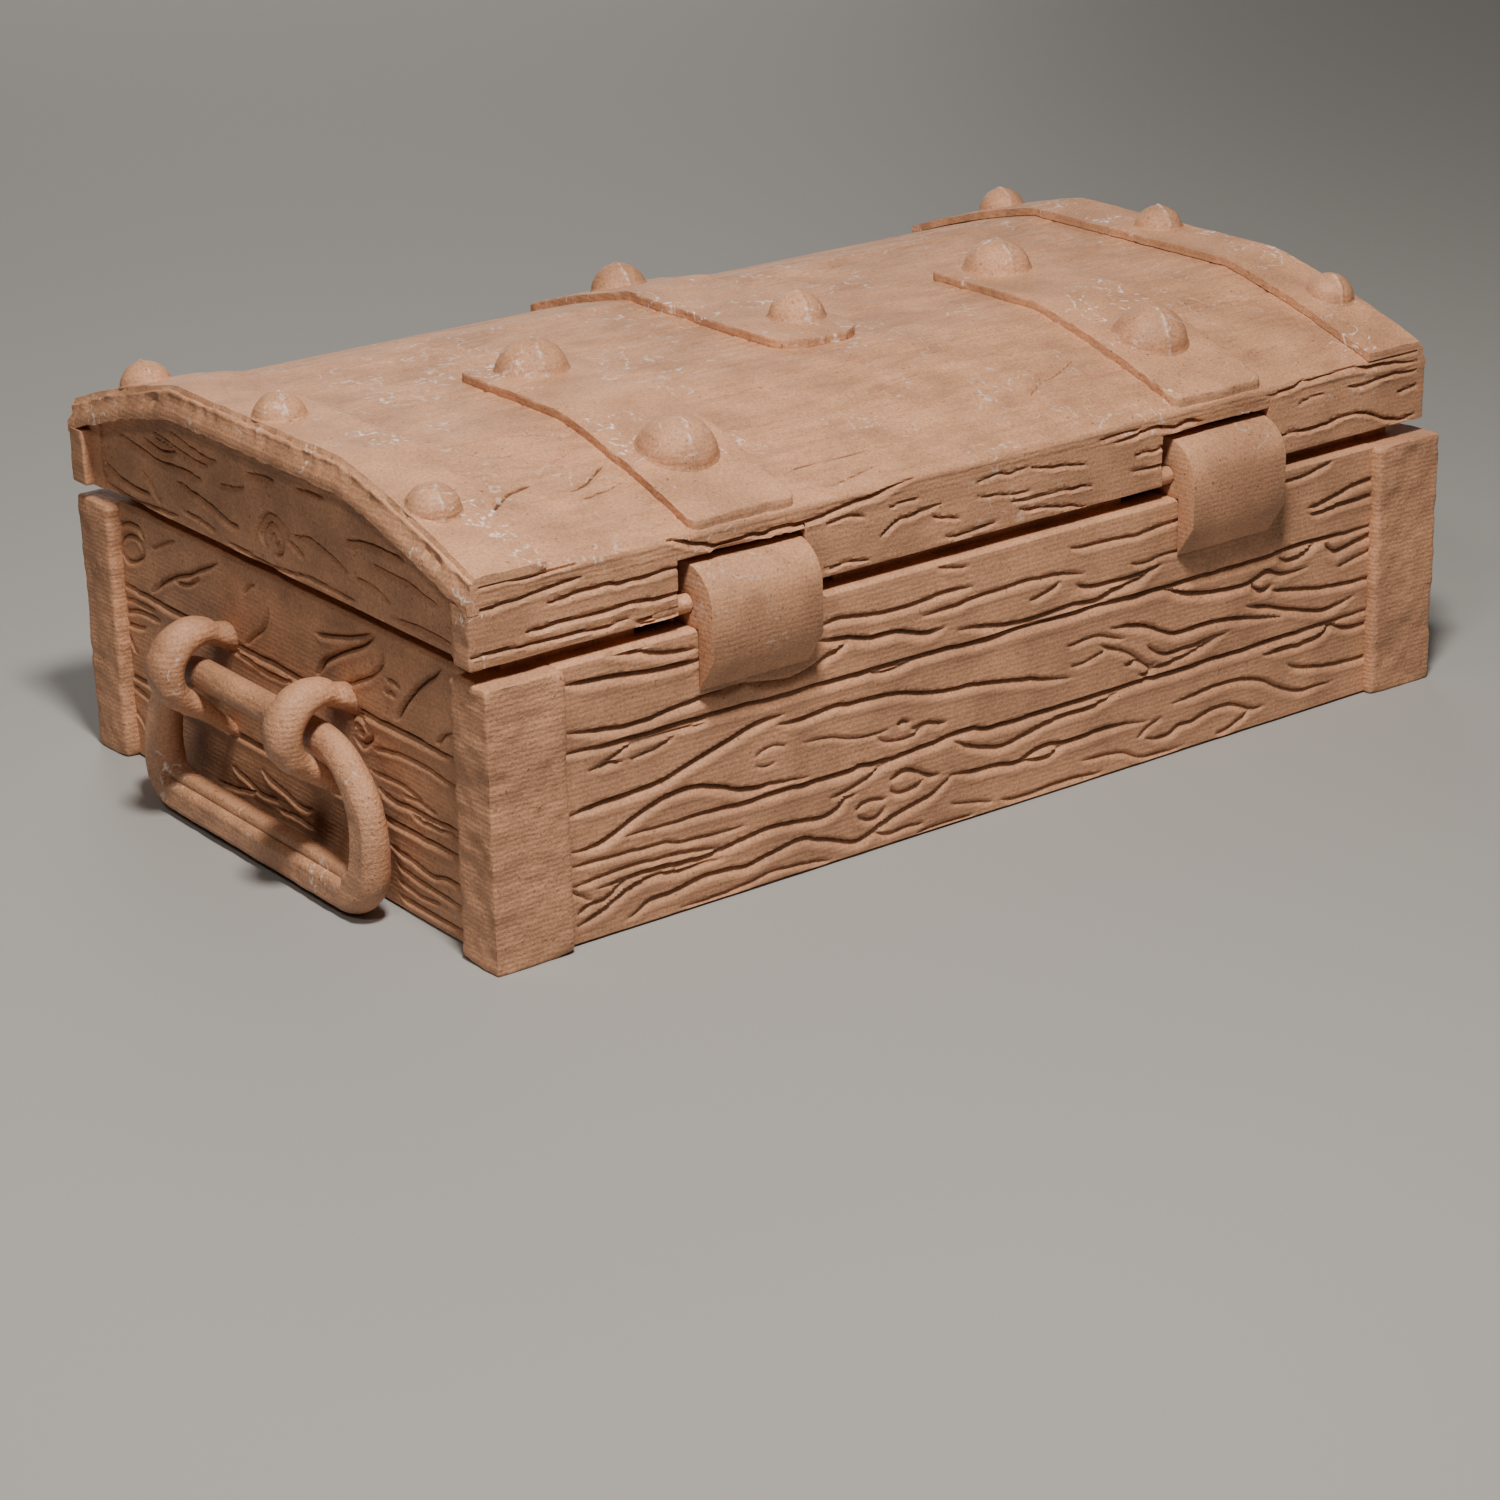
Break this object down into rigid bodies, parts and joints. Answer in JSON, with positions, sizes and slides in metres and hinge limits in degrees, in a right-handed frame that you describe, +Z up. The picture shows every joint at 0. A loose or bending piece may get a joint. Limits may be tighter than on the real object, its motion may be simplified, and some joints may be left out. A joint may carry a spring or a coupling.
{
  "type": "treasure chest",
  "caption": "Small wood-look treasure chest with a low domed lid on barrel hinges, riveted bands over the lid and a swinging ring handle at each end.",
  "frame": {"origin": "middle of the footprint, at the level the chest stands on", "axes": "+X along the chest to its right-hand end as seen from the front, +Y to the hinges at the back, +Z up"},
  "size_m": [0.0896, 0.0513, 0.0311],
  "materials": {
    "boards": "matte, carved with wood grain, fine layer lines",
    "posts": "matte, rough hewn, fine layer lines",
    "roof_boards": "matte, shallow grain and scratches",
    "bands": "matte with whitish rubbed edges",
    "rivets": "slightly glossy domes",
    "fittings": "slightly glossy, fine layer lines"
  },
  "bodies": {
    "base": {"floor_board": "boards", "front_board": "boards", "back_board": "boards", "end_board_left": "boards", "end_board_right": "boards", "corner_post_front_left": "posts", "corner_post_back_left": "posts", "corner_post_front_right": "posts", "corner_post_back_right": "posts", "hinge_bracket_left": "fittings", "hinge_bracket_right": "fittings", "handle_eye_front_left": "fittings", "handle_eye_back_left": "fittings", "handle_eye_front_right": "fittings", "handle_eye_back_right": "fittings"},
    "lid": {"lid_front_rail": "boards", "lid_back_rail": "boards", "lid_end_panel_left": "boards", "lid_end_panel_right": "boards", "lid_front_board": "roof_boards", "lid_top_board": "roof_boards", "lid_back_board": "roof_boards", "end_band_left": "bands", "end_band_right": "bands", "hinge_strap_left": "bands", "hinge_strap_right": "bands", "front_strap": "bands", "band_rivet_front_left": "rivets", "band_rivet_top_left": "rivets", "band_rivet_back_left": "rivets", "band_rivet_front_right": "rivets", "band_rivet_top_right": "rivets", "band_rivet_back_right": "rivets", "hinge_rivet_lower_left": "rivets", "hinge_rivet_upper_left": "rivets", "hinge_rivet_lower_right": "rivets", "hinge_rivet_upper_right": "rivets", "front_rivet_lower": "rivets", "front_rivet_upper": "rivets", "hinge_pin_left": "fittings", "hinge_pin_right": "fittings"},
    "left_handle": {"handle_left": "fittings"},
    "right_handle": {"handle_right": "fittings"}
  },
  "joints": [
    {"name": "lid_hinge", "type": "hinge", "parent": "base", "child": "lid", "pos_m": [0, 0.02345, 0.01975], "axis": [-1, 0, 0], "range_deg": [0, 104]},
    {"name": "right_handle_swing", "type": "hinge", "parent": "base", "child": "right_handle", "pos_m": [0.0409, 0.0003, 0.01052], "axis": [0, -1, 0], "range_deg": [-6, 170]},
    {"name": "left_handle_swing", "type": "hinge", "parent": "base", "child": "left_handle", "pos_m": [-0.0409, 0.0003, 0.01052], "axis": [0, 1, 0], "range_deg": [-6, 170]}
  ]
}
